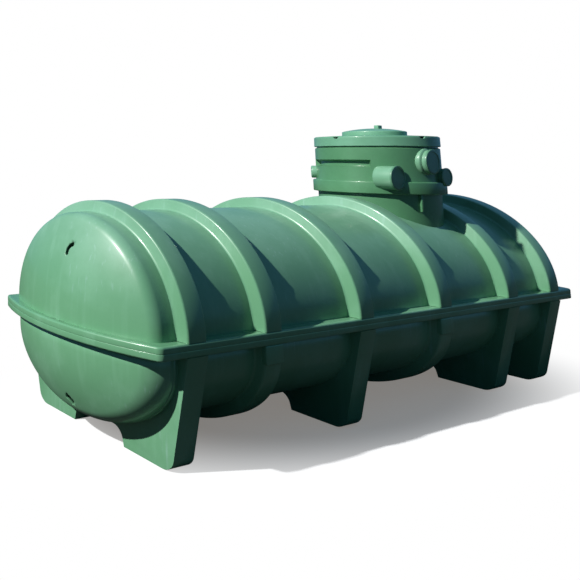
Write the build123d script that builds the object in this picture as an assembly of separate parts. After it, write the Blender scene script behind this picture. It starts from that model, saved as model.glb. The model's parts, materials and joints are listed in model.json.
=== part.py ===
from build123d import *
import math
import os

# Horizontal rainwater tank, moulded in two halves that meet at a flange halfway up.
# X runs along the tank, Y across it and Z up. The ground is Z = 0.
# Near is the side of the pipe sockets, front is the end away from the turret.

# Flange between the two halves
flange_half_width = 600
flange_half_length = 1850
flange_end_bow = 140
flange_top = 600
lip_thickness = 32

# Walls of the body
wall = 8
lower_straight = 62
lower_depth = 372
crown_margin = 32
bottom_half_width = 335
seat_gap = 0.3
cut_margin = 1

# Dished heads
dish_radius = 1130
head_inset = 40
upper_knuckle = 70
lower_knuckle = 140

# Slot and hollow pressed into the front heads
recess_depth = 5
slot_width = 16
slot_start = (-112, 401)
slot_middle = (-72, 376)
slot_end = (-47, 338)
hollow_width = 20
hollow_start = (10, 193)
hollow_end = (60, 209)

# Ribs that wrap the barrel, flush with the edge of the flange
rib_width = 130
rib_height = 60
rib_edge_radius = 8
middle_pitch = 740
end_pitch = 515

# Legs below four of the ribs
foot_inset = 131
foot_corner_radius = 55
arch_foot_half = 185
arch_top_half = 165
arch_height = 87
arch_radius = 50

# Turret over the manhole
turret_x = 840
neck_radius = 350
neck_wall = 8
neck_clearance = 20
neck_rise = 81
fin_angle = 249
fin_height = 110
fin_width = 14
fin_reach = 16
band_step = 29
band_height = 81
collar_step = 14
collar_height = 244.7
groove_rise = 110
groove_height = 28
groove_depth = 12
groove_middle = 162.5
groove_sweep = 85

# Lid on the turret
lid_gap = 0.3
lid_wall = 6
lid_setback = 3
lid_rim_height = 54
lid_rim_thickness = 16
notch_angles = (75, 172, 255, 352)
notch_width = 30
notch_depth = 9
slope_edge_inset = 8
slope_edge_height = 3
slope_height = 13
cap_setback = 174
cap_edge_height = 28
cap_crown = 24
knob_length = 46
knob_width = 30
knob_height = 22
knob_corner = 6
knob_offset = 30

# Pipe sockets on the turret, all pointing to the near side
socket_wall = 6
socket_cap_thickness = 10
socket_cap_lip = 4
inlet_radius = 84
inlet_rise = 26
inlet_setback = 58
overflow_radius = 80
overflow_offset = -78
overflow_rise = 132
overflow_reach = 76
vent_radius = 59
vent_offset = 95
vent_rise = 34
vent_reach = 68
boss_radius = 46
boss_rise = 52
boss_angle = 145
boss_reach = 48

body_radius = flange_half_width - rib_height
crown_start = math.degrees(math.acos((neck_radius + crown_margin) / body_radius))
seam_height = flange_top - lip_thickness
flange_bottom = flange_top - 2 * lip_thickness
curve_top = flange_bottom - lower_straight
head_apex = flange_half_length + flange_end_bow - head_inset
foot_half_width = flange_half_width - foot_inset
rib_middles = [
    -middle_pitch * 1.5 - end_pitch,
    -middle_pitch * 1.5,
    -middle_pitch * 0.5,
    middle_pitch * 0.5,
    middle_pitch * 1.5,
    middle_pitch * 1.5 + end_pitch,
]
leg_numbers = (1, 3, 5, 6)
band_bottom = flange_top + body_radius + neck_rise
band_radius = neck_radius + band_step
collar_radius = neck_radius + collar_step
collar_bottom = band_bottom + band_height
collar_top = collar_bottom + collar_height
lid_rim_radius = collar_radius - lid_setback
cap_radius = lid_rim_radius - cap_setback
lid_bottom = collar_top + lid_gap
lid_top = lid_bottom + lid_rim_height
cap_bottom = lid_top + slope_height
barrel_axis = Axis((0, 0, flange_top), (1, 0, 0))

parts = {}


def knuckle_start(radius, sphere, knuckle):
    """Distance along X at which a head of these radii leaves the straight barrel."""
    return head_apex - dish_radius + math.sqrt((sphere - knuckle) ** 2 - (radius - knuckle) ** 2)


def head_outline(inset, knuckle, start):
    """Half plan of a dished head, from its start on the barrel to the middle of the dish."""
    radius = body_radius - inset
    sphere = dish_radius - inset
    corner = knuckle - inset
    dish_centre = head_apex - dish_radius
    bend_x = knuckle_start(radius, sphere, corner)
    tilt = math.atan2(radius - corner, bend_x - dish_centre)
    bend_end = (dish_centre + sphere * math.cos(tilt), sphere * math.sin(tilt))
    half_turn = (math.pi / 2 - tilt) / 2
    bend_middle = (bend_x + corner * math.sin(half_turn), radius - corner + corner * math.cos(half_turn))
    dish_middle = (dish_centre + sphere * math.cos(tilt / 2), sphere * math.sin(tilt / 2))
    edges = [
        Line((start, 0), (start, radius)),
        ThreePointArc((bend_x, radius), bend_middle, bend_end),
        ThreePointArc(bend_end, dish_middle, (dish_centre + sphere, 0)),
        Line((dish_centre + sphere, 0), (start, 0)),
    ]
    if bend_x - start > 0.001:
        edges.insert(1, Line((start, radius), (bend_x, radius)))
    return make_face(edges)


def at_front(solid):
    """The same solid on the front end of the tank."""
    return mirror(solid, Plane.YZ)


def lower_section(inset, margin=0):
    """Cross-section of the lower half: short straight sides over half an ellipse."""
    half = body_radius - inset
    depth = lower_depth - inset
    outline = [
        Line((-half, curve_top), (-half, flange_bottom + margin)),
        Line((-half, flange_bottom + margin), (half, flange_bottom + margin)),
        Line((half, flange_bottom + margin), (half, curve_top)),
        EllipticalCenterArc((0, curve_top), half, depth, start_angle=180, arc_size=180),
    ]
    return make_face(outline)


def across(face, middle, width):
    """Extrude a cross-section along the tank, centred on middle."""
    plane = Plane(origin=(middle - width / 2, 0, 0), x_dir=(0, 1, 0), z_dir=(1, 0, 0))
    return extrude(plane * face, width)


def post(x, radius, bottom, height):
    """Upright cylinder that stands on the given level."""
    return Pos(x, 0, bottom) * Cylinder(radius, height, align=(Align.CENTER, Align.CENTER, Align.MIN))


def sector_face(reach, start, end):
    """Pie slice between two angles in degrees, with three straight outer corners."""
    corners = [(0, 0)]
    for angle in (start, (start + end) / 2, end):
        corners.append((reach * math.cos(math.radians(angle)), reach * math.sin(math.radians(angle))))
    return make_face(Polyline(*corners, close=True))


def upper_barrel():
    half = knuckle_start(body_radius, dish_radius, upper_knuckle)
    ring = Circle(body_radius) - Circle(body_radius - wall)
    tube = across(Pos(0, flange_top) * ring, 0, 2 * half)
    bore = post(turret_x, neck_radius - neck_wall, flange_top, 2 * body_radius)
    spans = (
        ("upper_wall_far", 0, crown_start),
        ("upper_wall_crown", crown_start, 180 - crown_start),
        ("upper_wall_near", 180 - crown_start, 180),
    )
    for name, start, end in spans:
        sector = Pos(0, flange_top) * sector_face(2 * body_radius, start, end)
        wedge = across(sector, 0, 3 * half)
        parts[name] = (tube & wedge) - bore


def upper_heads():
    start = knuckle_start(body_radius, dish_radius, upper_knuckle)
    outline = head_outline(0, upper_knuckle, start)
    section = outline - head_outline(wall, upper_knuckle, start)
    skin = outline - head_outline(recess_depth, upper_knuckle, start)
    upright = Plane(origin=(0, 0, flange_top))
    head = revolve(upright * section, barrel_axis, 180)
    arc = ThreePointArc(slot_start, slot_middle, slot_end)
    slot = across(Pos(0, flange_top) * SlotArc(arc, slot_width), -head_apex, dish_radius)
    cut = at_front(revolve(upright * skin, barrel_axis, 180)) & slot
    parts["upper_head_rear"] = head
    parts["upper_head_front"] = at_front(head) - cut


def lower_bowl(inset):
    """Solid head of the lower half, flattened like the barrel below its straight sides."""
    start = knuckle_start(body_radius, dish_radius, lower_knuckle)
    outline = head_outline(inset, lower_knuckle, start)
    plan = outline + mirror(outline, Plane.XZ)
    rim = Pos(0, 0, curve_top) * extrude(plan, lower_straight)
    flatten = (lower_depth - inset) / (body_radius - inset)
    bowl = scale(revolve(outline, Axis.X, -180), by=(1, 1, flatten))
    return rim + Pos(0, 0, curve_top) * bowl


def lower_heads():
    outside = lower_bowl(0)
    head = outside - lower_bowl(wall)
    middle = (Vector(*hollow_start) + Vector(*hollow_end)) / 2
    hollow = SlotCenterPoint((middle.X, middle.Y), hollow_end, hollow_width)
    cut = at_front(outside - lower_bowl(recess_depth)) & across(hollow, -head_apex, dish_radius)
    parts["lower_head_rear"] = head
    parts["lower_head_front"] = at_front(head) - cut


def lower_barrel():
    half = knuckle_start(body_radius, dish_radius, lower_knuckle)
    shell = across(lower_section(0) - lower_section(wall), 0, 2 * half)
    side = Box(4 * half, body_radius, 4 * body_radius)
    side_y = bottom_half_width + body_radius / 2
    parts["lower_wall_near"] = shell & (Pos(0, -side_y, 0) * side)
    parts["lower_wall_far"] = shell & (Pos(0, side_y, 0) * side)
    parts["lower_wall_bottom"] = shell & Box(4 * half, 2 * bottom_half_width, 4 * body_radius)


def flange_plan():
    corner = flange_half_length
    tip = flange_half_length + flange_end_bow
    edges = [
        Line((0, -flange_half_width), (corner, -flange_half_width)),
        ThreePointArc((corner, -flange_half_width), (tip, 0), (corner, flange_half_width)),
        Line((corner, flange_half_width), (0, flange_half_width)),
        Line((0, flange_half_width), (0, -flange_half_width)),
    ]
    return make_face(edges)


def flange_lips():
    levels = (("upper_flange", seam_height, upper_knuckle), ("lower_flange", flange_bottom, lower_knuckle))
    for name, level, knuckle in levels:
        start = knuckle_start(body_radius, dish_radius, knuckle)
        inner = body_radius - wall
        side = Box(2 * start, flange_half_width - inner, lip_thickness,
                   align=(Align.CENTER, Align.MAX, Align.MIN))
        parts[name + "_near"] = Pos(0, -inner, level) * side
        parts[name + "_far"] = mirror(parts[name + "_near"], Plane.XZ)
        hollow = head_outline(wall, knuckle, start)
        hollow = hollow + mirror(hollow, Plane.XZ)
        beyond = Pos(start, 0) * Rectangle(flange_half_length, 4 * flange_half_width,
                                           align=(Align.MIN, Align.CENTER))
        plan = (flange_plan() & beyond) - hollow
        parts[name + "_rear"] = Pos(0, 0, level) * extrude(plan, lip_thickness)
        parts[name + "_front"] = at_front(parts[name + "_rear"])


def upper_ribs():
    inner = body_radius + seat_gap
    height = flange_half_width - inner
    channel = Pos(0, inner + height / 2) * Rectangle(rib_width, height)
    channel = fillet(channel.vertices().group_by(Axis.Y)[-1], rib_edge_radius)
    channel = channel - Pos(0, inner + (height - wall) / 2) * Rectangle(rib_width - 2 * wall, height - wall)
    band = revolve(Plane(origin=(0, 0, flange_top)) * channel, barrel_axis, 180)
    break_radius = neck_radius + neck_clearance
    for number, middle in enumerate(rib_middles, 1):
        rib = Pos(middle, 0, 0) * band
        edges = (middle - rib_width / 2 - cut_margin, middle + rib_width / 2 + cut_margin)
        if max(abs(x - turret_x) for x in edges) < break_radius:
            rib = rib - neck_break(edges, break_radius)
        elif abs(middle - turret_x) < break_radius + rib_width / 2:
            rib = rib - post(turret_x, break_radius, flange_top, 2 * body_radius)
        parts[f"upper_rib_{number}"] = rib


def neck_break(edges, break_radius):
    """Tapered prism that clears the neck where it interrupts the crown of a rib."""
    corners = [(x, math.sqrt(break_radius ** 2 - (x - turret_x) ** 2)) for x in edges]
    corners += [(x, -y) for x, y in reversed(corners)]
    return Pos(0, 0, flange_top) * extrude(make_face(Polyline(*corners, close=True)), 2 * body_radius)


def lower_ribs():
    outside = across(lower_section(-rib_height), 0, rib_width)
    hollow = across(lower_section(wall - rib_height, cut_margin), 0, rib_width - 2 * wall)
    body = across(lower_section(-seat_gap, cut_margin), 0, 2 * rib_width)
    band = outside - hollow - body
    for number, middle in enumerate(rib_middles, 1):
        if number not in leg_numbers:
            parts[f"lower_rib_{number}"] = Pos(middle, 0, 0) * band


def leg_outline():
    half = [
        (0, arch_height), (arch_top_half, arch_height), (arch_foot_half, 0),
        (foot_half_width, 0), (flange_half_width, flange_bottom),
    ]
    points = half + [(-x, z) for x, z in reversed(half[1:])]
    outline = make_face(Polyline(*points, close=True))
    arch = [v for v in outline.vertices() if abs(v.Y - arch_height) < cut_margin]
    outline = fillet([v for v in arch if abs(v.X) > cut_margin], arch_radius)
    feet = [v for v in outline.vertices() if abs(v.Y) < cut_margin]
    return fillet([v for v in feet if abs(v.X) > foot_half_width - cut_margin], foot_corner_radius)


def legs():
    outline = leg_outline()
    hollow = across(offset(outline, -wall), 0, rib_width - 2 * wall)
    body = across(lower_section(-seat_gap, cut_margin), 0, 2 * rib_width)
    leg = across(outline, 0, rib_width) - hollow - body
    for number in leg_numbers:
        parts[f"leg_{number}"] = Pos(rib_middles[number - 1], 0, 0) * leg


def turret_ring(outer, inner, bottom, height):
    ring = Circle(outer) - Circle(inner)
    return Pos(turret_x, 0, bottom) * extrude(ring, height)


def turret():
    inner = neck_radius - neck_wall
    barrel = across(Pos(0, flange_top) * Circle(body_radius + seat_gap), turret_x, 4 * neck_radius)
    neck = turret_ring(neck_radius, inner, flange_top, band_bottom - flange_top)
    fin = Pos(neck_radius - neck_wall / 2, 0, band_bottom - fin_height) * Box(
        neck_wall / 2 + fin_reach, fin_width, fin_height, align=(Align.MIN, Align.CENTER, Align.MIN))
    parts["neck"] = neck + Pos(turret_x, 0, 0) * Rot(0, 0, fin_angle) * fin - barrel
    parts["turret_band"] = turret_ring(band_radius, inner, band_bottom, band_height)
    collar = turret_ring(collar_radius, inner, collar_bottom, collar_height)
    groove_bottom = collar_bottom + groove_rise
    groove = turret_ring(collar_radius + cut_margin, collar_radius - groove_depth, groove_bottom, groove_height)
    sector = sector_face(2 * collar_radius, groove_middle - groove_sweep / 2, groove_middle + groove_sweep / 2)
    wedge = Pos(turret_x, 0, groove_bottom) * extrude(sector, groove_height)
    parts["turret_collar"] = collar - (groove & wedge)


def cap_outline(inset):
    """Half section of the domed cap in the middle of the lid."""
    radius = cap_radius - inset
    crown_radius = (cap_radius ** 2 + cap_crown ** 2) / (2 * cap_crown)
    crown_top = cap_edge_height + cap_crown
    centre = crown_top - crown_radius
    crown_radius = crown_radius - inset
    edge = centre + math.sqrt(crown_radius ** 2 - radius ** 2)
    half_way = (radius / 2, centre + math.sqrt(crown_radius ** 2 - radius ** 2 / 4))
    edges = [
        Line((0, 0), (radius, 0)),
        Line((radius, 0), (radius, edge)),
        ThreePointArc((radius, edge), half_way, (0, centre + crown_radius)),
        Line((0, centre + crown_radius), (0, 0)),
    ]
    return make_face(edges)


def lid():
    rim = turret_ring(lid_rim_radius, lid_rim_radius - lid_rim_thickness, lid_bottom, lid_rim_height)
    notch = Pos(lid_rim_radius, 0, lid_top) * Box(lid_rim_thickness, notch_width, 2 * notch_depth)
    for angle in notch_angles:
        rim = rim - Pos(turret_x, 0, 0) * Rot(0, 0, angle) * notch
    parts["lid_rim"] = rim
    edge_radius = lid_rim_radius - slope_edge_inset
    inside = slope_height - lid_wall
    slope = [
        (0, slope_height), (cap_radius, slope_height), (edge_radius, slope_edge_height), (edge_radius, 0),
        (lid_rim_radius - lid_rim_thickness, 0), (cap_radius, inside), (0, inside),
    ]
    slope_face = Plane.XZ * make_face(Polyline(*slope, close=True))
    parts["lid_slope"] = Pos(turret_x, 0, lid_top) * revolve(slope_face, Axis.Z)
    cap_face = Plane.XZ * (cap_outline(0) - cap_outline(lid_wall))
    cap = revolve(cap_face, Axis.Z)
    parts["lid_cap"] = Pos(turret_x, 0, cap_bottom) * cap
    block = Box(knob_length, knob_width, cap_edge_height + cap_crown + knob_height,
                align=(Align.CENTER, Align.CENTER, Align.MIN))
    block = fillet(block.edges().filter_by(Axis.Z) + block.edges().group_by(Axis.Z)[-1], knob_corner)
    knob = Pos(0, -knob_offset, 0) * block - revolve(Plane.XZ * cap_outline(-seat_gap), Axis.Z)
    parts["lid_knob"] = Pos(turret_x, 0, cap_bottom) * knob


def turret_core():
    """Cylinders that the sockets' inner ends are cut to."""
    band = post(turret_x, band_radius + seat_gap, 0, collar_bottom)
    return band + post(turret_x, collar_radius + seat_gap, 0, collar_top)


def socket(name, offset_x, rise, radius, face):
    """A capped pipe socket that leaves the turret wall towards the near side."""
    core = turret_core()
    x = turret_x + offset_x
    z = collar_bottom + rise
    towards = Plane(origin=(x, 0, z), x_dir=(1, 0, 0), z_dir=(0, -1, 0))
    tube = extrude(towards * (Circle(radius) - Circle(radius - socket_wall)), face - socket_cap_thickness)
    parts[name] = tube - core
    cap_plane = Plane(origin=(x, -face, z), x_dir=(1, 0, 0), z_dir=(0, 1, 0))
    parts[name + "_cap"] = extrude(cap_plane * Circle(radius + socket_cap_lip), socket_cap_thickness) - core


def sockets():
    socket("inlet_socket", inlet_radius - neck_radius, inlet_rise, inlet_radius, collar_radius - inlet_setback)
    socket("overflow_socket", overflow_offset, overflow_rise, overflow_radius, collar_radius + overflow_reach)
    socket("small_socket", vent_offset, vent_rise, vent_radius, collar_radius + vent_reach)
    boss = Rot(0, 90, 0) * Cylinder(boss_radius, collar_radius + boss_reach,
                                    align=(Align.CENTER, Align.CENTER, Align.MIN))
    boss = Pos(turret_x, 0, collar_bottom + boss_rise) * Rot(0, 0, boss_angle) * boss
    parts["turret_boss"] = boss - turret_core()


upper_barrel()
upper_heads()
lower_heads()
lower_barrel()
flange_lips()
upper_ribs()
lower_ribs()
legs()
turret()
lid()
sockets()

os.makedirs("parts", exist_ok=True)
for name, shape in parts.items():
    export_step(shape, f"parts/{name}.step")
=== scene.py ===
import json
import math

import bmesh
import bpy
from mathutils import Matrix, Vector


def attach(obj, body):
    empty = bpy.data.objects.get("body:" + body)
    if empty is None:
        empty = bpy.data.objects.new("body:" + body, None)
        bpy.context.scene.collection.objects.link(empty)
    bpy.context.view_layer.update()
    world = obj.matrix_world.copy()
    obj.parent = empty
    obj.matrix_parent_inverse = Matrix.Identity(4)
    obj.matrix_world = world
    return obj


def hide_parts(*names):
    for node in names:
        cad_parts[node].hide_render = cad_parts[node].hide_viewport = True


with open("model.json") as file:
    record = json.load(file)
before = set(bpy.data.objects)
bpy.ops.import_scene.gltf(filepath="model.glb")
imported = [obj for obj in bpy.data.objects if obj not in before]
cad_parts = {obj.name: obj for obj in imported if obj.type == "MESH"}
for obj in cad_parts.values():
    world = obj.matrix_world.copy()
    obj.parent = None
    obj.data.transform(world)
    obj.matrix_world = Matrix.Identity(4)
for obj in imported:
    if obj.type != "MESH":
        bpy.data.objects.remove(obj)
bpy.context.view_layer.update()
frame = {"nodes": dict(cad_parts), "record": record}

# Lengths are in metres and angles in degrees. The main sizes repeat the solids' own,
# unless a comment says that they differ. Edges, overlaps and other small forms are
# this script's own.

# Body
BODY_RADIUS = 0.540
CURVE_TOP = 0.474
LOWER_DEPTH = 0.372
LOWER_SQUASH = LOWER_DEPTH / BODY_RADIUS
HEAD_APEX = 1.950
DISH_RADIUS = 1.130
UPPER_KNUCKLE = 0.070
LOWER_KNUCKLE = 0.140
WALL = 0.008

# Thin beads near the ends of the lower half, not in the solids
BEAD_X = 1.708
BEAD_HALF_WIDTH = 0.010
BEAD_FOOT = 0.539
BEAD_CROWN = 0.547
BEAD_ROUND = 0.006

# Slots in the front heads, as centre across and up, radius, first and last angle, and width.
# The solids' lie and curve a little otherwise and are 5 mm deep.
UPPER_SLOT = ((-0.070, 0.940), 0.043, 84, -22, 0.021)
LOWER_SLOT = ((0.170, 0.020), 0.250, 129, 141, 0.036)
SLOT_CUT_DEPTH = 0.020
POCKET_MOUTH = 0.003
POCKET_FLOOR = 0.060
POCKET_MARGIN = 0.001
SLOT_END_ROUND = 0.45

# Flange, 0.1 mm narrower at each side and 0.5 mm shorter at each end than the solids'
FLANGE_HALF_WIDTH = 0.5999
FLANGE_HALF_LENGTH = 1.850
FLANGE_TIP = 1.9895
FLANGE_TOP = 0.600
SEAM = 0.568
FLANGE_BOTTOM = 0.536
SEAM_GAP = 0.004
FLANGE_DEPTH = 0.085
FLANGE_CORNER = 0.020
LIP_TOP_ROUND = 0.010
LIP_BOTTOM_ROUND = 0.008
LIP_SEAM_ROUND = 0.003
LIP_STEP_INSET = 0.010
LIP_STEP = 0.0015

# Ribs, with feet that spread on the wall and lie just inside it. The solids' feet don't spread.
RIB_WIDTH = 0.130
RIB_X = (-1.625, -1.110, -0.370, 0.370, 1.110, 1.625)
RIB_FOOT = BODY_RADIUS - 0.004
RIB_ROOT = RIB_FOOT + 0.005
RIB_FOOT_SPREAD = 0.018
RIB_ROOT_SPREAD = 0.004
RIB_CROWN_DRAFT = 0.006
RIB_CROWN_ROUND = 0.009
RIB_ROOT_ROUND = 0.010

# Plain lower ribs: slimmer than the solids', below short tabs that the solids haven't got
LOWER_RIB_HEIGHT = 0.060
LOWER_RIB_NARROWING = 0.982
LOWER_RIB_ROOT_LIMIT = 0.565
TAB_SIZE = (RIB_WIDTH - 0.006, 0.038, 0.091)
TAB_Y = 0.5805
TAB_Z = 0.4905
TAB_EDGE = 0.006

# Legs, with feet that stand 18 mm further out than the solids'
LEG_NUMBERS = (1, 3, 5, 6)
FOOT_OUTSIDE = 0.487
FOOT_INSIDE = 0.185
FOOT_CORNER = 0.055
ARCH_HALF_WIDTH = 0.165
ARCH_HEIGHT = 0.087
ARCH_CORNER = 0.050
CRADLE_LIMIT = 0.12
LEG_EDGE = 0.010
LEG_TOLERANCE = 0.001

# Turret
TURRET_X = 0.840
NECK_RADIUS = 0.350
NECK_INNER_RADIUS = NECK_RADIUS - WALL
NECK_BOTTOM = 1.0
NECK_OVERLAP = 0.002
BAND_OVERLAP = 0.001
BAND_RADIUS = 0.379
BAND_BOTTOM = 1.221
BAND_LOWER_ROUND = 0.006
BAND_UPPER_ROUND = 0.008
FIN_ANGLE = 249
FIN_SIZE = (0.020, 0.014, 0.110)
FIN_OFFSET = 0.006
FIN_EDGE = 0.003

# Collar, as distances inside the solids' radius and heights, and its groove. The collar is
# 7 mm slimmer than the solids' at the top, and the groove is deeper.
COLLAR_RADIUS = 0.364
COLLAR_BOTTOM = 1.302
COLLAR_TOP = 1.5467
GROOVE_BOTTOM = 1.396
GROOVE_TOP = 1.444
COLLAR_OUTLINE = (
    (0.004, COLLAR_BOTTOM - 0.002), (0.006, 1.330), (0.0065, GROOVE_BOTTOM), (0.0065, GROOVE_TOP),
    (0.007, COLLAR_TOP - 0.026), (0.012, COLLAR_TOP - 0.021), (0.018, COLLAR_TOP - 0.019),
    (0.018, COLLAR_TOP))
GROOVE_START = 120
GROOVE_END = 205
GROOVE_LIMIT = 0.34
GROOVE_INSET = 0.011
GROOVE_DEPTH = 0.030

# Lid. Its skirt reaches 12 mm lower than the solids'.
LID_RADIUS = 0.361
LID_BOTTOM = 1.547
LID_TOP = 1.601
LID_RIM_OUTLINE = (
    (0.016, LID_BOTTOM + 0.001), (0.003, LID_BOTTOM - 0.012), (0, LID_BOTTOM - 0.009),
    (0.001, LID_TOP - 0.015), (0.001, LID_TOP), (0.016, LID_TOP))
LID_RIM_ROUND = 0.005
NOTCH_ANGLES = (75, 172, 255, 352)
NOTCH_HALF_ANGLE = 2.9
NOTCH_LIMIT = 0.011
NOTCH_DEPTH = 0.014
SLOPE_INSET = 0.008
SLOPE_EDGE = 0.003
SLOPE_SINK = 0.002
CAP_RADIUS = 0.187
CAP_BOTTOM = 1.614
CAP_EDGE_TOP = 1.642
CAP_TOP = 1.666
CAP_SINK = 0.002
CAP_ROUND = 0.006
KNOB_PLACE = (TURRET_X, -0.030, 1.669)
KNOB_SIZE = (0.046, 0.030, 0.037)
KNOB_EDGE = 0.005

# Sockets, as name, x, z, radius, y of the face, y of the inner end and extra radius of the
# base. They are slimmer and reach less far than the solids', and the inlet and the overflow
# lie elsewhere.
SOCKETS = (
    ("Inlet_socket", 0.552, 1.328, 0.076, -0.296, -0.175, 0.0),
    ("Overflow_socket", 0.780, 1.434, 0.077, -0.384, -0.300, 0.014),
    ("Small_socket", 0.934, 1.336, 0.056, -0.382, -0.300, 0.0),
)
SOCKET_BASE_END = 0.034
SOCKET_NECK_START = 0.028
SOCKET_INNER_ROUND = 0.012
SOCKET_BASE_ROUND = 0.006
SOCKET_WALL = 0.006
SOCKET_CAP_THICKNESS = 0.010
SOCKET_CAP_LIP = 0.004
SOCKET_CAP_ROUND = 0.004
CAP_FIELD_EDGE = 0.86
CAP_FIELD = 0.82
CAP_FIELD_DEPTH = 0.003

# Blind boss on the collar, as an outline of distance from the turret's axis and radius.
# It is slimmer than the solids', points another way and reaches less far.
BOSS_OUTLINE = ((0.330, 0.044), (0.388, 0.044), (0.388, 0.034), (0.385, 0.031), (0.385, 0))
BOSS_ROUND = 0.006
BOSS_ANGLE = 126
BOSS_HEIGHT = COLLAR_BOTTOM + 0.052

# How finely curves are divided, in steps of a turn
DISH_STEPS = 26
KNUCKLE_STEPS = 14
HALF_TURN_STEPS = 96
SLOT_STEPS = 10
CRADLE_STEPS = 48
BOW_STEPS = 48
RIM_STEPS = 4
RING_STEPS = 128
LID_RIM_STEPS = 256
CROWN_STEPS = 12
CAP_STEPS = 96
SOCKET_STEPS = 64
BOSS_STEPS = 48

# Distances within which vertices are one, and within which they lie on a level or a line
MERGE_DISTANCE = 0.00005
TOLERANCE = 0.0001
RIM_TOLERANCE = 0.0005

# Angle up to which faces are shaded as one surface
SMOOTH_ANGLE = 32
LEG_SMOOTH_ANGLE = 28
FLANGE_SMOOTH_ANGLE = 50
SHARP_TURN = 1.0

X_AXIS = Vector((1, 0, 0))
Y_AXIS = Vector((0, 1, 0))
Z_AXIS = Vector((0, 0, 1))

# Colours of the plastic. The last is both the colour of scuffs and a painted sheen that lightens
# the upper parts.
GREEN = (0.136, 0.345, 0.188, 1)
GREEN_LIGHT = (0.178, 0.405, 0.245, 1)
GREEN_DARK = (0.105, 0.300, 0.165, 1)
SCUFF_AND_PAINTED_SHEEN = (0.330, 0.540, 0.480, 1)

# Patterns in the plastic, and a painted sheen: scales of the noise, stretches along the axes,
# ranges over which a pattern or the sheen comes in, and amounts
CLOUD_SCALE = 2.2
GRAIN_SCALE = 38.0
PEEL_SCALE = 240.0
SAG_STRETCH = (14.0, 14.0, 0.8)
SCUFF_STRETCH = (60.0, 60.0, 2.5)
CLOUD_RANGE = (0.42, 0.68)
GRAIN_RANGE = (0.5, 0.75)
SAG_RANGE = (0.52, 0.72)
SCUFF_RANGE = (0.60, 0.74)
SCUFFED_CLOUD_RANGE = (0.45, 0.6)
# Heights over which the painted sheen comes in, and how much of it the clouds give
PAINTED_SHEEN_HEIGHTS = (0.78, 1.12)
GRAIN_AMOUNT = 0.18
SCUFF_AMOUNT = 0.35
PAINTED_SHEEN_LEAST = 0.4
PAINTED_SHEEN_BY_CLOUDS = 0.8
BASE_ROUGHNESS = 0.27
ROUGHNESS_BY_GRAIN = 0.10
ROUGHNESS_BY_CLOUDS = 0.12
HEIGHT_BY_CLOUDS = 0.6
HEIGHT_BY_SAG = 0.25
HEIGHT_BY_PEEL = 0.05
BUMP_STRENGTH = 0.35
BUMP_DISTANCE = 0.004
PLASTIC_IOR = 1.5
COAT_WEIGHT = 0.25
COAT_ROUGHNESS = 0.14

# Floor, surroundings and sun
WHITE = (1, 1, 1, 1)
FLOOR_HALF_SIZE = 60
FLOOR_COLOUR = (0.85, 0.865, 0.90, 1)
FLOOR_BOUNCE = (0.05, 0.05, 0.05, 1)
FLOOR_GLOW = (0.211, 0.196, 0.180, 1)
FADE_SQUASH = 0.2
FADE_RANGE = (0.52, 1.22)
FILL_COLOUR = (0.22, 0.60, 1.0, 1)
FILL_STRENGTH = 0.13
SHEEN_STRENGTH = 0.42
SUN_FROM = (-1.0, 0.13, 0.82)
SUN_STRENGTH = 4.6
SUN_SIZE = 1.2
SUN_COLOUR = (1.0, 0.985, 0.95)

# Camera: its place, its turn, and the focal length and axis in pixels of a square picture
CAMERA_PLACE = (-4.1286, -2.8212, 1.4190)
CAMERA_YAW = 65.72
CAMERA_PITCH = 6.16
CAMERA_ROLL = 0.75
PICTURE_SIZE = 580
FOCAL_LENGTH = 649.51
OPTICAL_AXIS = (-100.267, 87.233)
SENSOR_WIDTH = 36
FAR_CLIP = 200


# Shader maths

class Value:
    """One number that a material works out over the surface."""

    def __init__(self, finish, socket):
        self.finish = finish
        self.socket = socket

    def _math(self, operation, other):
        node = self.finish.node("ShaderNodeMath", {0: self, 1: other}, operation=operation)
        return Value(self.finish, node.outputs[0])

    def __add__(self, other):
        return self._math("ADD", other)

    __radd__ = __add__

    def __mul__(self, other):
        return self._math("MULTIPLY", other)

    __rmul__ = __mul__

    def power(self, exponent):
        return self._math("POWER", exponent)

    def rise(self, low, high):
        """0 at low, 1 at high and smooth between them."""
        inputs = {"Value": self, "From Min": low, "From Max": high}
        node = self.finish.node("ShaderNodeMapRange", inputs, interpolation_type="SMOOTHSTEP")
        return Value(self.finish, node.outputs["Result"])


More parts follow.
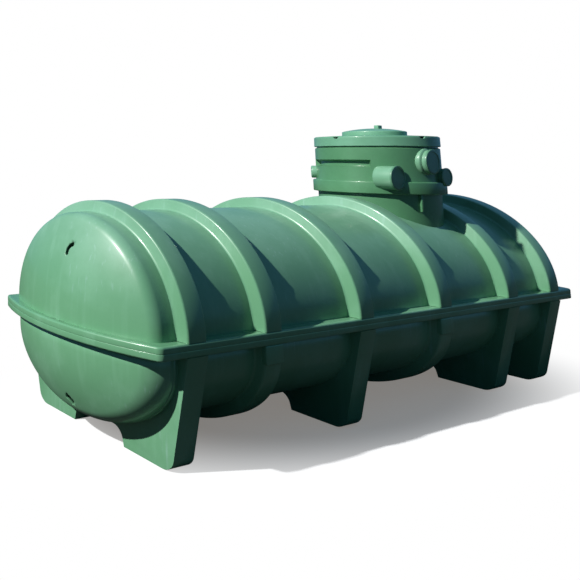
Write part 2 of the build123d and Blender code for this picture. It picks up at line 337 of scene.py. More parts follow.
class Finish:
    """Node tree of a material or of the world, while it is built."""

    # Colour sockets of a Mix node
    MIX_FIRST = 6
    MIX_SECOND = 7
    MIX_RESULT = 2

    def __init__(self, owner, output):
        owner.use_nodes = True
        self.tree = owner.node_tree
        self.tree.nodes.clear()
        self.output = self.node(output)

    def node(self, kind, inputs=None, **settings):
        """Add any node, with its settings, and link or set its inputs."""
        node = self.tree.nodes.new(kind)
        for key, value in settings.items():
            setattr(node, key, value)
        for key, value in (inputs or {}).items():
            self.feed(node.inputs[key], value)
        return node

    def feed(self, socket, value):
        """Link a value to a socket, or set the socket to it."""
        if isinstance(value, Value):
            value = value.socket
        if isinstance(value, bpy.types.NodeSocket):
            self.tree.links.new(value, socket)
        else:
            socket.default_value = value

    def show(self, shader):
        """Use a shader node as the surface."""
        self.feed(self.output.inputs["Surface"], shader.outputs[0])

    def place(self):
        """Where a point of the surface lies, in Object coordinates."""
        return self.node("ShaderNodeTexCoord").outputs["Object"]

    def axis(self, name):
        split = self.node("ShaderNodeSeparateXYZ", {"Vector": self.place()})
        return Value(self, split.outputs[name])

    def noise(self, scale, detail, roughness, stretch=None):
        place = self.place()
        if stretch:
            mapping = self.node("ShaderNodeMapping", {"Vector": place, "Scale": stretch})
            place = mapping.outputs["Vector"]
        inputs = {"Vector": place, "Scale": scale, "Detail": detail, "Roughness": roughness}
        return Value(self, self.node("ShaderNodeTexNoise", inputs).outputs["Fac"])

    def mix(self, amount, first, second):
        """Blend two colours by an amount from 0 to 1."""
        inputs = {"Factor": amount, self.MIX_FIRST: first, self.MIX_SECOND: second}
        return self.node("ShaderNodeMix", inputs, data_type="RGBA").outputs[self.MIX_RESULT]


def moulded_plastic(name, base, light, dark, streaks=0.0, painted_sheen=0.0):
    """Rotationally moulded polyethylene: satin, faintly cloudy, with a fine orange peel; a
    painted sheen can lighten it towards the top.
    """
    material = bpy.data.materials.new(name)
    finish = Finish(material, "ShaderNodeOutputMaterial")
    clouds = finish.noise(CLOUD_SCALE, 4.0, 0.6)
    grain = finish.noise(GRAIN_SCALE, 3.0, 0.6)
    peel = finish.noise(PEEL_SCALE, 2.0, 0.5)
    sag = finish.noise(1.0, 3.0, 0.5, stretch=SAG_STRETCH)
    colour = finish.mix(clouds.rise(*CLOUD_RANGE), base, light)
    colour = finish.mix(grain.rise(*GRAIN_RANGE) * GRAIN_AMOUNT, colour, dark)
    if streaks:
        colour = finish.mix(sag.rise(*SAG_RANGE) * streaks, colour, light)
        scuffs = finish.noise(1.0, 2.0, 0.5, stretch=SCUFF_STRETCH)
        worn = scuffs.rise(*SCUFF_RANGE) * clouds.rise(*SCUFFED_CLOUD_RANGE) * SCUFF_AMOUNT
        colour = finish.mix(worn, colour, SCUFF_AND_PAINTED_SHEEN)
    # Painted sheen: the colour gets lighter towards the top, in cloudy patches
    if painted_sheen:
        sheen_patches = clouds * PAINTED_SHEEN_BY_CLOUDS + PAINTED_SHEEN_LEAST
        painted_sheen_mask = finish.axis("Z").rise(*PAINTED_SHEEN_HEIGHTS) * sheen_patches
        colour = finish.mix(painted_sheen_mask * painted_sheen, colour, SCUFF_AND_PAINTED_SHEEN)
    roughness = grain * ROUGHNESS_BY_GRAIN + clouds * ROUGHNESS_BY_CLOUDS + BASE_ROUGHNESS
    height = clouds * HEIGHT_BY_CLOUDS + sag * HEIGHT_BY_SAG + peel * HEIGHT_BY_PEEL
    bump = finish.node("ShaderNodeBump", {
        "Height": height, "Strength": BUMP_STRENGTH, "Distance": BUMP_DISTANCE})
    finish.show(finish.node("ShaderNodeBsdfPrincipled", {
        "Base Color": colour,
        "Roughness": roughness,
        "Normal": bump.outputs["Normal"],
        "IOR": PLASTIC_IOR,
        "Coat Weight": COAT_WEIGHT,
        "Coat Roughness": COAT_ROUGHNESS,
    }))
    return material


# The tank's plastic has streaks, scuffs and a painted sheen on its upper parts
tank_plastic = moulded_plastic(
    "Tank_green_polyethylene", GREEN, GREEN_LIGHT, GREEN_DARK, streaks=0.6, painted_sheen=0.22)
lid_plastic = moulded_plastic(
    "Lid_green_polyethylene", base=(0.150, 0.370, 0.230, 1), light=(0.190, 0.430, 0.290, 1),
    dark=GREEN_DARK)
cap_plastic = moulded_plastic(
    "Socket_cap_green_plastic", base=(0.110, 0.270, 0.165, 1), light=(0.130, 0.320, 0.200, 1),
    dark=GREEN_DARK)
# Very dark green for the slot pockets: painted shade inside the slots
pocket_painted_shade_plastic = moulded_plastic(
    "Hollow_green_polyethylene", base=(0.020, 0.060, 0.035, 1), light=(0.030, 0.080, 0.045, 1),
    dark=(0.015, 0.045, 0.030, 1))
# Darker copy of the tank's green for the neck, band and collar: painted shade on the turret
turret_painted_shade_plastic = moulded_plastic(
    "Turret_green_polyethylene", base=(0.086, 0.248, 0.120, 1), light=(0.108, 0.290, 0.150, 1),
    dark=(0.064, 0.200, 0.096, 1))
MATERIALS = {
    "tank_plastic": tank_plastic,
    "lid_plastic": lid_plastic,
    "socket_caps": cap_plastic,
}


# Building

def link(name, data):
    """Add an object to the scene."""
    obj = bpy.data.objects.new(name, data)
    bpy.context.scene.collection.objects.link(obj)
    return obj


def mesh_object(bm, name):
    """Turn mesh data into an object of the scene."""
    mesh = bpy.data.meshes.new(name)
    bm.to_mesh(mesh)
    bm.free()
    return link(name, mesh)


def merge(bm):
    """Join vertices that lie on each other."""
    bmesh.ops.remove_doubles(bm, verts=bm.verts, dist=MERGE_DISTANCE)


def piece(bm, name, replaced, slot="tank_plastic", material=None, smooth_angle=SMOOTH_ANGLE):
    """Turn finished mesh data into an object that stands for CAD nodes."""
    merge(bm)
    bmesh.ops.recalc_face_normals(bm, faces=bm.faces)
    obj = mesh_object(bm, name)
    for face in obj.data.polygons:
        face.use_smooth = True
    obj.data.set_sharp_from_angle(angle=math.radians(smooth_angle))
    obj.data.materials.append(material or MATERIALS[slot])
    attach(obj, "root")
    if replaced:
        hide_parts(*replaced)
    return obj


def vertices_of(geometry):
    return [item for item in geometry if isinstance(item, bmesh.types.BMVert)]


def edges_of(geometry):
    return [item for item in geometry if isinstance(item, bmesh.types.BMEdge)]


def wire(bm, points):
    """Open chain of edges through a few points."""
    chain = [bm.verts.new(point) for point in points]
    for first, second in zip(chain, chain[1:]):
        bm.edges.new((first, second))
    return chain


def round_corner(bm, corners, radius, segments=4):
    """Round corner vertices of a chain."""
    bmesh.ops.bevel(bm, geom=corners, offset=radius, segments=segments, profile=0.5,
                    affect="VERTICES", material=-1)


def soften(bm, edges, width):
    """Round edges of a solid."""
    bmesh.ops.bevel(bm, geom=list(edges), offset=width, segments=3, profile=0.5,
                    affect="EDGES", material=-1, clamp_overlap=True)


def sweep(bm, geometry, centre, axis, angle, steps, closed=False):
    """Turn a chain or a vertex about an axis and return the last copy."""
    result = bmesh.ops.spin(bm, geom=geometry, cent=centre, axis=axis, angle=angle,
                            steps=steps, use_merge=closed)
    return result["geom_last"]


def arc(bm, vertex, centre, axis, angle, steps):
    """Draw an arc from a vertex and return its other end."""
    return vertices_of(sweep(bm, [vertex], centre, axis, angle, steps))[0]


def half_turn(bm, level, direction):
    """Sweep all of a section round half the body, over it or under it."""
    sweep(bm, bm.verts[:] + bm.edges[:], (0, 0, level), X_AXIS, direction * math.pi,
          HALF_TURN_STEPS)


def full_turn(bm, centre, axis, steps):
    """Sweep all of an outline right round and close it."""
    sweep(bm, bm.verts[:] + bm.edges[:], centre, axis, 2 * math.pi, steps, closed=True)


def pull(bm, geometry, vector):
    """Extrude vertices or edges by a vector and return the new ones."""
    edges = edges_of(geometry)
    if edges:
        new = bmesh.ops.extrude_edge_only(bm, edges=edges)["geom"]
    else:
        new = bmesh.ops.extrude_vert_indiv(bm, verts=geometry)["verts"]
    bmesh.ops.translate(bm, verts=vertices_of(new), vec=vector)
    return new


def flatten(bm, verts, depth, width=1):
    """Scale vertices about the middle of the level where the lower half starts to curve."""
    there = Matrix.Translation((0, 0, CURVE_TOP))
    scale = Matrix.Diagonal((1, width, depth, 1))
    bmesh.ops.transform(bm, matrix=there @ scale @ there.inverted(), verts=verts)


def block(bm, place, size, edge):
    """Add a box with rounded edges."""
    matrix = place @ Matrix.Diagonal((*size, 1))
    new = bmesh.ops.create_cube(bm, size=1, matrix=matrix)["verts"]
    soften(bm, {side for vert in new for side in vert.link_edges}, edge)


# Body

def head_profile(bm, knuckle, level):
    """Half plan of the body in a level plane, from one end's middle to the other's."""
    centre_x = HEAD_APEX - DISH_RADIUS
    straight = BODY_RADIUS - knuckle
    bend_x = centre_x + math.sqrt((DISH_RADIUS - knuckle) ** 2 - straight ** 2)
    dish = math.atan2(straight, bend_x - centre_x)
    shoulder = math.pi / 2 - dish
    end = bm.verts.new((-HEAD_APEX, 0, level))
    end = arc(bm, end, (-centre_x, 0, level), Z_AXIS, dish, DISH_STEPS)
    end = arc(bm, end, (-bend_x, -straight, level), Z_AXIS, shoulder, KNUCKLE_STEPS)
    end = pull(bm, [end], (2 * bend_x, 0, 0))[0]
    end = arc(bm, end, (bend_x, -straight, level), Z_AXIS, shoulder, KNUCKLE_STEPS)
    arc(bm, end, (centre_x, 0, level), Z_AXIS, dish, DISH_STEPS)
    merge(bm)


def thicken(obj):
    wall = obj.modifiers.new("Wall", "SOLIDIFY")
    wall.thickness = WALL
    wall.offset = -1


def curved_bar(bm, centre, radius, first, last, width):
    """Curved bar with round ends across the tank: its front vertices and its back ones."""
    across, up = centre
    start = math.radians(first)
    wire(bm, [(0, across + reach * math.cos(start), up + reach * math.sin(start))
              for reach in (radius - width / 2, radius + width / 2)])
    sweep(bm, bm.verts[:] + bm.edges[:], (0, across, up), X_AXIS,
          math.radians(last) - start, SLOT_STEPS)
    merge(bm)
    corners = [vert for vert in bm.verts if len(vert.link_edges) == 2]
    round_corner(bm, corners, width * SLOT_END_ROUND)
    front = bm.verts[:]
    back = bmesh.ops.extrude_face_region(bm, geom=bm.faces[:])["geom"]
    return front, vertices_of(back)


def lay_on_head(bm, verts, depth, middle, squash):
    """Move vertices along the tank to a depth below the dished front head."""
    for vert in verts:
        height = (vert.co.z - middle) / squash
        dish = math.sqrt(DISH_RADIUS ** 2 - vert.co.y ** 2 - height ** 2)
        surface = DISH_RADIUS - HEAD_APEX - dish
        bmesh.ops.translate(bm, verts=[vert], vec=(surface + depth - vert.co.x, 0, 0))


def pocket(shell, name, slot, middle, squash):
    """Cut a slot through a front head and back it with a blind pocket, coloured very dark green
    as painted shade.
    """
    bm = bmesh.new()
    front, back = curved_bar(bm, *slot)
    lay_on_head(bm, front, -SLOT_CUT_DEPTH, middle, squash)
    lay_on_head(bm, back, SLOT_CUT_DEPTH, middle, squash)
    bmesh.ops.recalc_face_normals(bm, faces=bm.faces)
    cutter = mesh_object(bm, "Cutter")
    cut = shell.modifiers.new("Cut", "BOOLEAN")
    cut.object = cutter
    graph = bpy.context.evaluated_depsgraph_get()
    shell.data = bpy.data.meshes.new_from_object(shell.evaluated_get(graph))
    shell.modifiers.clear()
    bpy.data.objects.remove(cutter)

    bm = bmesh.new()
    *shape, width = slot
    front, back = curved_bar(bm, *shape, width + POCKET_MARGIN)
    lay_on_head(bm, front, POCKET_MOUTH, middle, squash)
    lay_on_head(bm, back, POCKET_FLOOR, middle, squash)
    mouth = [face for face in bm.faces if all(vert in front for vert in face.verts)]
    bmesh.ops.delete(bm, geom=mouth, context="FACES")
    cup = piece(bm, name, (), material=pocket_painted_shade_plastic)
    cup.data.flip_normals()


def upper_shell():
    """Upper half of the body: round barrel between two dished heads."""
    bm = bmesh.new()
    head_profile(bm, UPPER_KNUCKLE, FLANGE_TOP)
    half_turn(bm, FLANGE_TOP, -1)
    rim = [edge for edge in bm.edges if edge.is_boundary]
    pull(bm, rim, (0, 0, SEAM - FLANGE_TOP + SEAM_GAP))
    obj = piece(bm, "Upper_shell", (
        "upper_wall_far", "upper_wall_crown", "upper_wall_near",
        "upper_head_rear", "upper_head_front"))
    thicken(obj)
    pocket(obj, "Upper_slot_pocket", UPPER_SLOT, FLANGE_TOP, 1)


def lower_shell():
    """Lower half of the body: flattened barrel and heads below short upright sides."""
    bm = bmesh.new()
    head_profile(bm, LOWER_KNUCKLE, CURVE_TOP)
    for middle in (-BEAD_X, BEAD_X):
        bead = wire(bm, [
            (middle - BEAD_HALF_WIDTH, -BEAD_FOOT, CURVE_TOP), (middle, -BEAD_CROWN, CURVE_TOP),
            (middle + BEAD_HALF_WIDTH, -BEAD_FOOT, CURVE_TOP)])
        round_corner(bm, [bead[1]], BEAD_ROUND, 3)
    half_turn(bm, CURVE_TOP, 1)
    flatten(bm, bm.verts, LOWER_SQUASH)
    merge(bm)
    rim = [edge for edge in bm.edges if edge.is_boundary
           and all(abs(vert.co.z - CURVE_TOP) < RIM_TOLERANCE for vert in edge.verts)]
    pull(bm, rim, (0, 0, SEAM - CURVE_TOP - SEAM_GAP))
    obj = piece(bm, "Lower_shell", (
        "lower_wall_far", "lower_wall_near", "lower_wall_bottom",
        "lower_head_rear", "lower_head_front"))
    thicken(obj)
    pocket(obj, "Lower_slot_pocket", LOWER_SLOT, CURVE_TOP, LOWER_SQUASH)


# Ribs and legs

def rib_section(bm, middle, level):
    """Hat section of a rib in the level plane on the near side."""
    half = RIB_WIDTH / 2
    side = (
        (half + RIB_FOOT_SPREAD, RIB_FOOT), (half + RIB_ROOT_SPREAD, RIB_ROOT),
        (half - RIB_CROWN_DRAFT, FLANGE_HALF_WIDTH))
    points = [(middle - along, -reach, level) for along, reach in side]
    points += [(middle + along, -reach, level) for along, reach in reversed(side)]
    outline = wire(bm, points)
    round_corner(bm, outline[2:4], RIB_CROWN_ROUND)
    roots = [vert for vert in bm.verts if abs(vert.co.y + RIB_ROOT) < TOLERANCE]
    round_corner(bm, roots, RIB_ROOT_ROUND, 3)


def upper_rib(number):
    bm = bmesh.new()
    rib_section(bm, RIB_X[number - 1], FLANGE_TOP)
    half_turn(bm, FLANGE_TOP, -1)
    piece(bm, f"Upper_rib_{number}", (f"upper_rib_{number}",))


def lower_rib(number):
    """Plain rib under the tank, with a flat tab at each side below the flange."""
    middle = RIB_X[number - 1]
    bm = bmesh.new()
    rib_section(bm, middle, CURVE_TOP)
    half_turn(bm, CURVE_TOP, 1)
    roots = [vert for vert in bm.verts
             if math.hypot(vert.co.y, vert.co.z - CURVE_TOP) < LOWER_RIB_ROOT_LIMIT]
    crown = [vert for vert in bm.verts if vert not in roots]
    flatten(bm, roots, LOWER_SQUASH)
    crown_squash = (LOWER_DEPTH + LOWER_RIB_HEIGHT) / FLANGE_HALF_WIDTH
    flatten(bm, crown, crown_squash, LOWER_RIB_NARROWING)
    ends = [edge for edge in bm.edges if edge.is_boundary
            and all(abs(vert.co.z - CURVE_TOP) < TOLERANCE for vert in edge.verts)]
    pull(bm, ends, (0, 0, FLANGE_BOTTOM - CURVE_TOP))
    for side in (-1, 1):
        block(bm, Matrix.Translation((middle, side * TAB_Y, TAB_Z)), TAB_SIZE, TAB_EDGE)
    piece(bm, f"Lower_rib_{number}", (f"lower_rib_{number}",))


def leg(number):
    """Moulded leg: sloping sides, two feet with an arch between them, and a cradle."""
    x = RIB_X[number - 1] - RIB_WIDTH / 2
    cradle_radius = BODY_RADIUS - WALL / 2
    bm = bmesh.new()
    side = (
        (FLANGE_HALF_WIDTH, FLANGE_BOTTOM), (FOOT_OUTSIDE, 0), (FOOT_INSIDE, 0),
        (ARCH_HALF_WIDTH, ARCH_HEIGHT))
    points = [(x, -across, up) for across, up in side]
    points += [(x, across, up) for across, up in reversed(side)]
    outer = wire(bm, points)
    first, last = outer[0], outer[-1]
    round_corner(bm, [outer[1], outer[6]], FOOT_CORNER, 8)
    round_corner(bm, [outer[3], outer[4]], ARCH_CORNER, 6)
    start = bm.verts.new((x, -cradle_radius, CURVE_TOP))
    end = arc(bm, start, (x, 0, CURVE_TOP), X_AXIS, math.pi, CRADLE_STEPS)
    middle = Vector((0, CURVE_TOP))
    cradle = [vert for vert in bm.verts if vert not in (first, last)
              and abs((vert.co.yz - middle).length - cradle_radius) < TOLERANCE]
    flatten(bm, cradle, (LOWER_DEPTH - WALL / 2) / cradle_radius)
    near_top = bm.verts.new((x, -cradle_radius, FLANGE_BOTTOM))
    far_top = bm.verts.new((x, cradle_radius, FLANGE_BOTTOM))
    for ends in ((first, near_top), (near_top, start), (end, far_top), (far_top, last)):
        bm.edges.new(ends)
    bmesh.ops.contextual_create(bm, geom=bm.edges[:])
    other_side = bmesh.ops.extrude_face_region(bm, geom=bm.faces[:])["geom"]
    bmesh.ops.translate(bm, verts=vertices_of(other_side), vec=(RIB_WIDTH, 0, 0))
    bmesh.ops.recalc_face_normals(bm, faces=bm.faces)
    soften(bm, [edge for edge in bm.edges if shown_edge(edge, cradle_radius)], LEG_EDGE)
    piece(bm, f"Leg_{number}", (f"leg_{number}",), smooth_angle=LEG_SMOOTH_ANGLE)


def shown_edge(edge, cradle_radius):
    """Whether an edge of a leg is a sharp one of its outline, and not one of its cradle."""
    if len(edge.link_faces) != 2 or edge.calc_face_angle(0) <= SHARP_TURN:
        return False
    start, end = (vert.co for vert in edge.verts)
    in_cradle = (abs(start.y) < cradle_radius + LEG_TOLERANCE
                 and start.z > CRADLE_LIMIT and end.z > CRADLE_LIMIT)
    return abs(start.x - end.x) < LEG_TOLERANCE and not in_cradle


# Flange

def flange_outline(bm, margin, level):
    """Closed outline of the flange, drawn in by a margin: straight sides and bowed ends."""
    before = set(bm.edges)
    half_width = FLANGE_HALF_WIDTH - margin
    half_length = FLANGE_HALF_LENGTH - margin
    bow = FLANGE_TIP - FLANGE_HALF_LENGTH
    radius = (half_width ** 2 + bow ** 2) / (2 * bow)
    centre_x = FLANGE_TIP - margin - radius
    turn = 2 * math.asin(half_width / radius)
    end = bm.verts.new((half_length, -half_width, level))
    end = arc(bm, end, (centre_x, 0, level), Z_AXIS, turn, BOW_STEPS)
    end = pull(bm, [end], (-2 * half_length, 0, 0))[0]
    arc(bm, end, (-centre_x, 0, level), Z_AXIS, turn, BOW_STEPS)
    merge(bm)
    bm.edges.new([vert for vert in bm.verts if len(vert.link_edges) == 1])
    return [edge for edge in bm.edges if edge not in before]


def rounded_rim(bm, face, radius):
    """Round the edge of a flat face by insets that climb a quarter circle."""
    for step in range(RIM_STEPS):
        before = math.pi / 2 * step / RIM_STEPS
        after = math.pi / 2 * (step + 1) / RIM_STEPS
        bmesh.ops.inset_region(
            bm, faces=[face], thickness=radius * (math.cos(before) - math.cos(after)),
            depth=radius * (math.sin(after) - math.sin(before)),
            use_boundary=True, use_even_offset=True)


def flange_lip(name, bottom, top, lower_round, upper_round):
    """One moulded lip of the flange, open in the middle."""
    bm = bmesh.new()
    flange_outline(bm, 0, bottom + lower_round)
    corners = [vert for vert in bm.verts
               if abs(abs(vert.co.x) - FLANGE_HALF_LENGTH) < TOLERANCE]
    round_corner(bm, corners, FLANGE_CORNER, 6)
    plan = bm.edges[:]
    side_top = top - upper_round
    side = pull(bm, plan, (0, 0, side_top - bottom - lower_round))
    upper_plan = [edge for edge in edges_of(side)
                  if all(vert.co.z > side_top - TOLERANCE for vert in edge.verts)]
    lower_plate, upper_plate = (
        bmesh.ops.contextual_create(bm, geom=edges)["faces"][0] for edges in (plan, upper_plan))
    bmesh.ops.recalc_face_normals(bm, faces=bm.faces)
    rounded_rim(bm, lower_plate, lower_round)
    rounded_rim(bm, upper_plate, upper_round)
    bmesh.ops.inset_region(bm, faces=[upper_plate], thickness=LIP_STEP_INSET, depth=-LIP_STEP,
                           use_boundary=True)
    plates = [lower_plate, upper_plate]
    outer = [plate.edges[:] for plate in plates]
    bmesh.ops.delete(bm, geom=plates, context="FACES_ONLY")
    inner = [flange_outline(bm, FLANGE_DEPTH, level) for level in (bottom, top - LIP_STEP)]
    # Known fault: the loops are paired wrongly here, so that large faces cross the inside
    # of the tank at the level of the lip and overlap each other on it.
    for loop, opening in zip(outer, inner):
        bmesh.ops.bridge_loops(bm, edges=loop + opening)
    bmesh.ops.bridge_loops(bm, edges=inner[0] + inner[1])
    sides = ("near", "far", "rear", "front")
    piece(bm, name, tuple(f"{name.lower()}_{side}" for side in sides),
          smooth_angle=FLANGE_SMOOTH_ANGLE)


def flange():
    flange_lip("Upper_flange", SEAM, FLANGE_TOP, LIP_SEAM_ROUND, LIP_TOP_ROUND)
    flange_lip("Lower_flange", FLANGE_BOTTOM, SEAM, LIP_BOTTOM_ROUND, LIP_SEAM_ROUND)


# Turret, lid and sockets

def turned(outline, rounds=(), steps=RING_STEPS):
    """Ring turned about the turret's axis from an outline of radius and height."""
    bm = bmesh.new()
    chain = wire(bm, [(TURRET_X + radius, 0, height) for radius, height in outline])
    for number, radius in rounds:
        round_corner(bm, [chain[number]], radius)
    full_turn(bm, (TURRET_X, 0, 0), Z_AXIS, steps)
    return bm


def about_turret(degrees):
    """Placement that turns about the turret's axis."""
    turn = Matrix.Rotation(math.radians(degrees), 4, "Z")
    return Matrix.Translation((TURRET_X, 0, 0)) @ turn


def seen_from_axis(point):
    """Offset of a point from the foot of the turret's axis, and its direction in degrees."""
    arm = point - Vector((TURRET_X, 0, 0))
    return arm, math.degrees(math.atan2(arm.y, arm.x)) % 360


def neck():
    """Plain neck with an upright fin."""
    bm = turned([
        (NECK_INNER_RADIUS, NECK_BOTTOM), (NECK_RADIUS, NECK_BOTTOM),
        (NECK_RADIUS, BAND_BOTTOM + NECK_OVERLAP)])
    offset = Matrix.Translation((NECK_RADIUS + FIN_OFFSET, 0, BAND_BOTTOM - FIN_SIZE[2] / 2))
    block(bm, about_turret(FIN_ANGLE) @ offset, FIN_SIZE, FIN_EDGE)
    piece(bm, "Neck", ("neck",), material=turret_painted_shade_plastic)


def turret_band():
    bm = turned([
        (NECK_INNER_RADIUS, BAND_BOTTOM), (BAND_RADIUS, BAND_BOTTOM),
        (BAND_RADIUS, COLLAR_BOTTOM), (NECK_INNER_RADIUS, COLLAR_BOTTOM + BAND_OVERLAP)],
        rounds=((1, BAND_LOWER_ROUND), (2, BAND_UPPER_ROUND)))
    piece(bm, "Turret_band", ("turret_band",), material=turret_painted_shade_plastic)


def turret_collar():
    """Collar with a stepped top edge and a groove sunk into its front."""
    outline = [(COLLAR_RADIUS - inset, height) for inset, height in COLLAR_OUTLINE]
    bm = turned(outline + [(NECK_INNER_RADIUS, COLLAR_TOP)])
    groove = []
    for face in bm.faces:
        middle, turn = seen_from_axis(face.calc_center_median())
        if (GROOVE_START < turn < GROOVE_END and GROOVE_BOTTOM < middle.z < GROOVE_TOP
                and middle.xy.length > GROOVE_LIMIT):
            groove.append(face)
    bmesh.ops.recalc_face_normals(bm, faces=bm.faces)
    bmesh.ops.inset_region(bm, faces=groove, thickness=GROOVE_INSET, depth=-GROOVE_DEPTH,
                           use_even_offset=True)
    piece(bm, "Turret_collar", ("turret_collar",), material=turret_painted_shade_plastic)


def lid_rim():
    """Rim of the lid, with shallow notches in its top edge."""
    outline = [(LID_RADIUS - inset, height) for inset, height in LID_RIM_OUTLINE]
    bm = turned(outline, rounds=((4, LID_RIM_ROUND),), steps=LID_RIM_STEPS)
    for vert in bm.verts:
        arm, turn = seen_from_axis(vert.co)
        nearest = min(abs(turn - angle) for angle in NOTCH_ANGLES)
        if arm.z > LID_TOP - NOTCH_LIMIT and nearest < NOTCH_HALF_ANGLE:
            bmesh.ops.translate(bm, verts=[vert], vec=(0, 0, LID_TOP - NOTCH_DEPTH - arm.z))
    piece(bm, "Lid_rim", ("lid_rim",), slot="lid_plastic")


def lid_slope():
    edge_radius = LID_RADIUS - SLOPE_INSET
    bm = turned([
        (edge_radius, LID_TOP - SLOPE_SINK), (edge_radius, LID_TOP + SLOPE_EDGE),
        (CAP_RADIUS, CAP_BOTTOM), (0.0, CAP_BOTTOM)])
    piece(bm, "Lid_slope", ("lid_slope",), slot="lid_plastic")


def lid_cap():
    """Disc with a crowned top."""
    bm = bmesh.new()
    foot = bm.verts.new((TURRET_X + CAP_RADIUS, 0, CAP_BOTTOM - CAP_SINK))
    edge = pull(bm, [foot], (0, 0, CAP_EDGE_TOP - CAP_BOTTOM + CAP_SINK))[0]
    crown = CAP_TOP - CAP_EDGE_TOP
    crown_radius = (CAP_RADIUS ** 2 + crown ** 2) / (2 * crown)
    turn = math.asin(CAP_RADIUS / crown_radius)
    arc(bm, edge, (TURRET_X, 0, CAP_TOP - crown_radius), Y_AXIS, -turn, CROWN_STEPS)
    round_corner(bm, [edge], CAP_ROUND)
    full_turn(bm, (TURRET_X, 0, 0), Z_AXIS, CAP_STEPS)
    piece(bm, "Lid_cap", ("lid_cap",), slot="lid_plastic")


def lid_knob():
    bm = bmesh.new()
    block(bm, Matrix.Translation(KNOB_PLACE), KNOB_SIZE, KNOB_EDGE)
    piece(bm, "Lid_knob", ("lid_knob",), slot="lid_plastic")


def socket_pair(name, x, z, radius, face_y, inner_y, base):
    """Capped pipe socket: a tube from the turret wall and its flat cap."""
    bm = bmesh.new()
    foot = radius + base
    cap_back = face_y + SOCKET_CAP_THICKNESS
    chain = wire(bm, [(x + across, y, z) for across, y in (
        (0, inner_y), (foot, inner_y), (foot, face_y + SOCKET_BASE_END),
        (radius, face_y + SOCKET_NECK_START), (radius, cap_back),
        (radius - SOCKET_WALL, cap_back))])
    round_corner(bm, [chain[1]], SOCKET_INNER_ROUND)
    if base:
        round_corner(bm, [chain[2]], SOCKET_BASE_ROUND, 3)
    full_turn(bm, (x, 0, z), Y_AXIS, SOCKET_STEPS)
    piece(bm, f"{name}_tube", (name.lower(),))

    bm = bmesh.new()
    lip = radius + SOCKET_CAP_LIP
    field_y = face_y + CAP_FIELD_DEPTH
    chain = wire(bm, [(x + across, y, z) for across, y in (
        (lip, cap_back), (lip, face_y), (radius * CAP_FIELD_EDGE, face_y),
        (radius * CAP_FIELD, field_y), (0, field_y))])
    round_corner(bm, [chain[1]], SOCKET_CAP_ROUND, 3)
    full_turn(bm, (x, 0, z), Y_AXIS, SOCKET_STEPS)
    piece(bm, f"{name}_cap_disc", (f"{name.lower()}_cap",), slot="socket_caps")


def turret_boss():
    bm = bmesh.new()
    chain = wire(bm, [(reach, 0, radius) for reach, radius in BOSS_OUTLINE])
    round_corner(bm, [chain[1]], BOSS_ROUND, 3)
    full_turn(bm, (0, 0, 0), X_AXIS, BOSS_STEPS)
    place = about_turret(BOSS_ANGLE) @ Matrix.Translation((0, 0, BOSS_HEIGHT))
    bmesh.ops.transform(bm, matrix=place, verts=bm.verts)
    piece(bm, "Turret_boss", ("turret_boss",))


upper_shell()
lower_shell()
for number in range(1, len(RIB_X) + 1):
    upper_rib(number)
    if number in LEG_NUMBERS:
        leg(number)
    else:
        lower_rib(number)
flange()
neck()
turret_band()
turret_collar()
lid_rim()
lid_slope()
lid_cap()
lid_knob()
for socket in SOCKETS:
    socket_pair(*socket)
turret_boss()

slots = {subpart["node"]: subpart["material_slot"] for subpart in frame["record"]["subparts"]}
for node in frame["nodes"].values():
    node.data.materials.clear()
    node.data.materials.append(MATERIALS[slots.get(node.name, "tank_plastic")])


# Floor, lights and camera

def ground():
    """Pale floor that fades to white away from the tank."""
    bm = bmesh.new()
    bmesh.ops.create_grid(bm, x_segments=1, y_segments=1, size=FLOOR_HALF_SIZE)
    obj = mesh_object(bm, "Floor")
    material = bpy.data.materials.new("Pale_floor")
    finish = Finish(material, "ShaderNodeOutputMaterial")
    along = finish.axis("X")
    across = finish.axis("Y")
    distance = (along * along * FADE_SQUASH + across * across).power(0.5)
    seen = Value(finish, finish.node("ShaderNodeLightPath").outputs["Is Camera Ray"])
    colour = finish.mix(seen, FLOOR_BOUNCE, FLOOR_COLOUR)
    matt = finish.node("ShaderNodeBsdfDiffuse", {"Color": colour})
    glow = finish.node("ShaderNodeEmission", {"Color": FLOOR_GLOW, "Strength": seen})
    shaded = finish.node("ShaderNodeAddShader", {0: matt.outputs[0], 1: glow.outputs[0]})
    white = finish.node("ShaderNodeEmission", {"Color": WHITE, "Strength": 1.0})
    finish.show(finish.node("ShaderNodeMixShader", {
        "Fac": distance.rise(*FADE_RANGE) * seen,
        1: shaded.outputs[0],
        2: white.outputs[0],
    }))
    obj.data.materials.append(material)


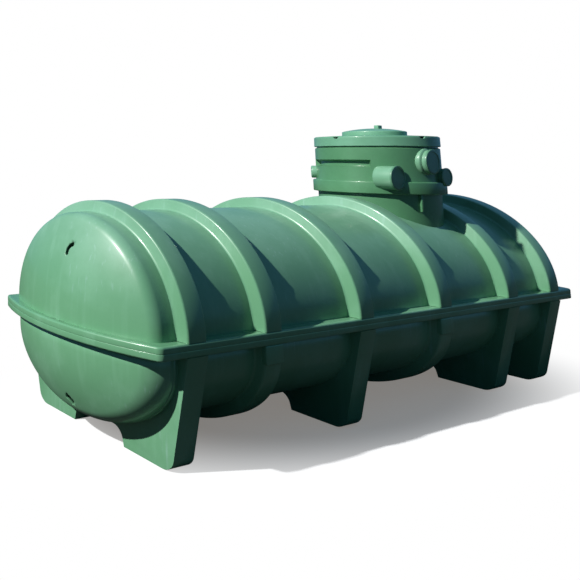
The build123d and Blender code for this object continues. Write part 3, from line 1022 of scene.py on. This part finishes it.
def surroundings():
    """White to the camera, a soft cool fill for the object and more of it in its gloss."""
    world = bpy.data.worlds.new("Studio")
    bpy.context.scene.world = world
    finish = Finish(world, "ShaderNodeOutputWorld")
    path = finish.node("ShaderNodeLightPath")
    strength = finish.node("ShaderNodeMapRange", {
        "Value": path.outputs["Is Glossy Ray"],
        "To Min": FILL_STRENGTH,
        "To Max": SHEEN_STRENGTH,
    })
    fill = finish.node("ShaderNodeBackground", {
        "Color": FILL_COLOUR, "Strength": strength.outputs["Result"]})
    white = finish.node("ShaderNodeBackground", {"Color": WHITE, "Strength": 1.0})
    finish.show(finish.node("ShaderNodeMixShader", {
        "Fac": path.outputs["Is Camera Ray"],
        1: fill.outputs[0],
        2: white.outputs[0],
    }))


def sun():
    light = bpy.data.lights.new("Key_light", "SUN")
    light.energy = SUN_STRENGTH
    light.angle = math.radians(SUN_SIZE)
    light.color = SUN_COLOUR
    obj = link("Key_light", light)
    obj.rotation_euler = Vector(SUN_FROM).to_track_quat("Z", "Y").to_euler()


def camera():
    """Camera at the photograph's viewpoint, with the lens shift that its framing needs."""
    yaw = math.radians(CAMERA_YAW)
    pitch = math.radians(CAMERA_PITCH)
    roll = math.radians(CAMERA_ROLL)
    forward = Vector((
        math.cos(yaw) * math.cos(pitch), math.sin(yaw) * math.cos(pitch), math.sin(pitch)))
    level = Vector((math.sin(yaw), -math.cos(yaw), 0))
    upright = level.cross(forward)
    right = level * math.cos(roll) + upright * math.sin(roll)
    up = upright * math.cos(roll) - level * math.sin(roll)
    data = bpy.data.cameras.new("Camera")
    data.sensor_width = SENSOR_WIDTH
    data.lens = FOCAL_LENGTH / PICTURE_SIZE * SENSOR_WIDTH
    data.shift_x = (PICTURE_SIZE / 2 - OPTICAL_AXIS[0]) / PICTURE_SIZE
    data.shift_y = (OPTICAL_AXIS[1] - PICTURE_SIZE / 2) / PICTURE_SIZE
    data.clip_end = FAR_CLIP
    obj = link("Camera", data)
    turn = Matrix((right, up, -forward)).transposed().to_4x4()
    obj.matrix_world = Matrix.Translation(CAMERA_PLACE) @ turn
    bpy.context.scene.camera = obj


ground()
surroundings()
sun()
camera()
bpy.context.scene.view_settings.view_transform = "Standard"
